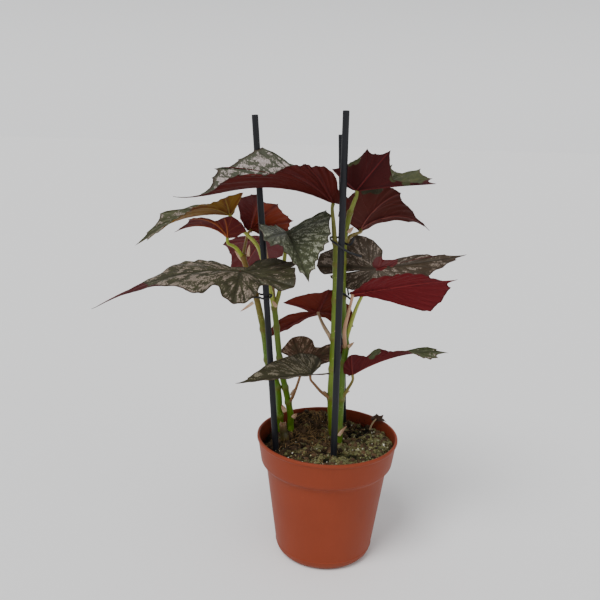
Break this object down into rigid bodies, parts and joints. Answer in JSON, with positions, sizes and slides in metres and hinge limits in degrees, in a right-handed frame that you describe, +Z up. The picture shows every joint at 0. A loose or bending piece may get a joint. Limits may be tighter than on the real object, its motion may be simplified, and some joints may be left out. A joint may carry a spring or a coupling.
{
  "type": "potted begonia",
  "caption": "Tall cane begonia with dark, cut, keeled leaves on green canes, tied to dark stakes in a round plastic nursery pot filled with peat.",
  "frame": {"origin": "centre of the pot's underside", "axes": "+Z up; the side that shows the plant best faces -Y; +X is to the right as seen from there"},
  "size_m": [0.3142, 0.2184, 0.4351],
  "materials": {
    "pot": "satin moulded terracotta-coloured plastic",
    "soil": "rough peat with moss and grit",
    "stake": "satin blue-black",
    "tie": "soft matt black",
    "cane": "smooth, satin, green",
    "old_cane": "dry and matt",
    "leaf": "satin, dark olive and silver above, deep red beneath",
    "dry_leaf": "dry, crumpled and matt"
  },
  "bodies": {
    "root": {"pot": "pot", "soil": "soil", "stake_left": "stake", "stake_front": "stake", "stake_back": "stake", "cane_left": "cane", "cane_middle_left": "cane", "cane_middle": "cane", "cane_right": "cane", "cane_stub": "old_cane", "leaf_top_left": "leaf", "leaf_top_right": "leaf", "leaf_right_red": "leaf", "leaf_right_middle": "leaf", "leaf_right_lower": "leaf", "leaf_left_middle": "leaf", "leaf_left_lower": "leaf", "leaf_middle_lower": "leaf", "leaf_right_narrow": "leaf", "leaf_centre": "leaf", "leaf_upper_left": "leaf", "leaf_left_red": "leaf", "leaf_back_upper": "leaf", "leaf_back_lower": "leaf", "leaf_middle_red": "leaf", "tie_front": "tie", "tie_left": "tie", "tie_back": "tie", "dried_scrap": "dry_leaf"}
  },
  "joints": []
}
